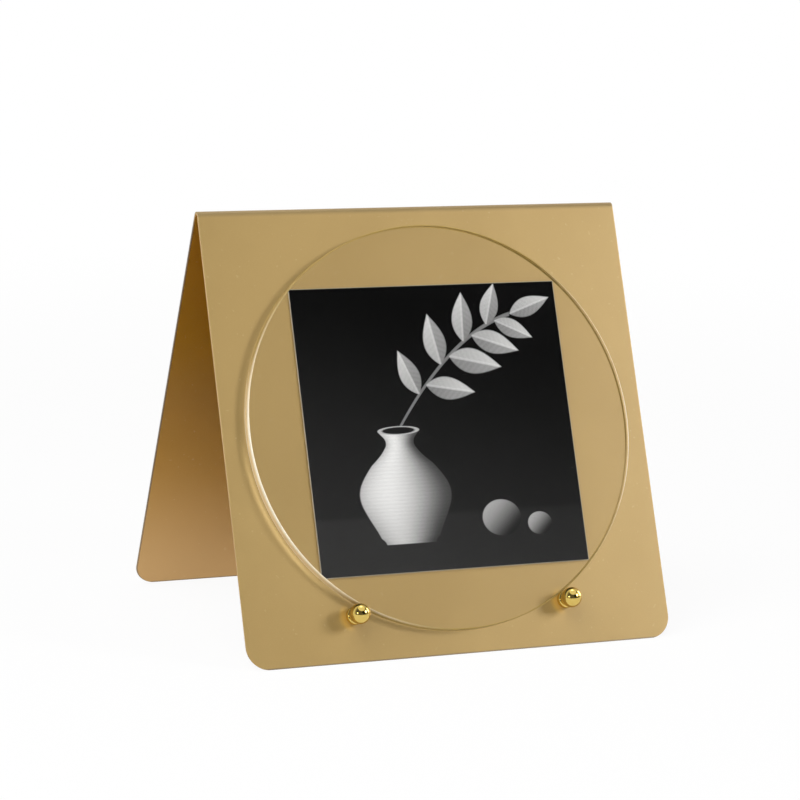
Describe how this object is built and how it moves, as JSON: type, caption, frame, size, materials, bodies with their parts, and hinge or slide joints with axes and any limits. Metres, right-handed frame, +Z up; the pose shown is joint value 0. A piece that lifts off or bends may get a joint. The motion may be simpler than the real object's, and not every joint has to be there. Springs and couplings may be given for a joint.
{
  "type": "photo frame",
  "caption": "Tent-shaped photo stand of folded gold sheet, with a round clear cover that rests on ball studs and holds a square print against the sloping front.",
  "frame": {"origin": "on the surface that the stand rests on, under the middle of the whole stand's box", "axes": "+Z up, +X to the right as seen from the front, the front with the print faces -Y"},
  "size_m": [0.2, 0.1598, 0.1843],
  "materials": {
    "gold_paint": "satin",
    "clear_acrylic": "gloss",
    "print_paper": "satin",
    "polished_gold": "polished",
    "plated_steel": "satin"
  },
  "bodies": {
    "stand": {"folded_stand": "gold_paint", "left_spacer_sleeve": "polished_gold", "right_spacer_sleeve": "polished_gold", "left_lock_ring": "plated_steel", "right_lock_ring": "plated_steel", "left_flat_washer": "plated_steel", "right_flat_washer": "plated_steel"},
    "cover": {"clear_cover": "clear_acrylic"},
    "print": {"photo_print": "print_paper"},
    "left_screw": {"left_socket_screw": "plated_steel"},
    "right_screw": {"right_socket_screw": "plated_steel"},
    "left_ball": {"left_ball_nut": "polished_gold"},
    "right_ball": {"right_ball_nut": "polished_gold"}
  },
  "joints": [
    {"name": "cover_lift", "type": "slide", "parent": "stand", "child": "cover", "axis": [0, 0.3827, 0.9239], "range_m": [0, 0.2]},
    {"name": "print_slide", "type": "slide", "parent": "stand", "child": "print", "axis": [0, 0.3827, 0.9239], "range_m": [-0.012, 0.2]},
    {"name": "left_screw_turn", "type": "hinge", "parent": "stand", "child": "left_screw", "pos_m": [-0.05, -0.06835, 0.01852], "axis": [0, 0.9239, -0.3827], "range_deg": [0, 3240]},
    {"name": "left_ball_travel", "type": "slide", "parent": "stand", "child": "left_ball", "axis": [0, -0.9239, 0.3827], "range_m": [0, 0.0045]},
    {"name": "right_screw_turn", "type": "hinge", "parent": "stand", "child": "right_screw", "pos_m": [0.05, -0.06835, 0.01852], "axis": [0, 0.9239, -0.3827], "range_deg": [0, 3240]},
    {"name": "right_ball_travel", "type": "slide", "parent": "stand", "child": "right_ball", "axis": [0, -0.9239, 0.3827], "range_m": [0, 0.0045]}
  ],
  "couplings": [
    {"joint": "left_screw_turn", "follows": "left_ball_travel", "rad_per_m": 12566},
    {"joint": "right_screw_turn", "follows": "right_ball_travel", "rad_per_m": 12566}
  ]
}
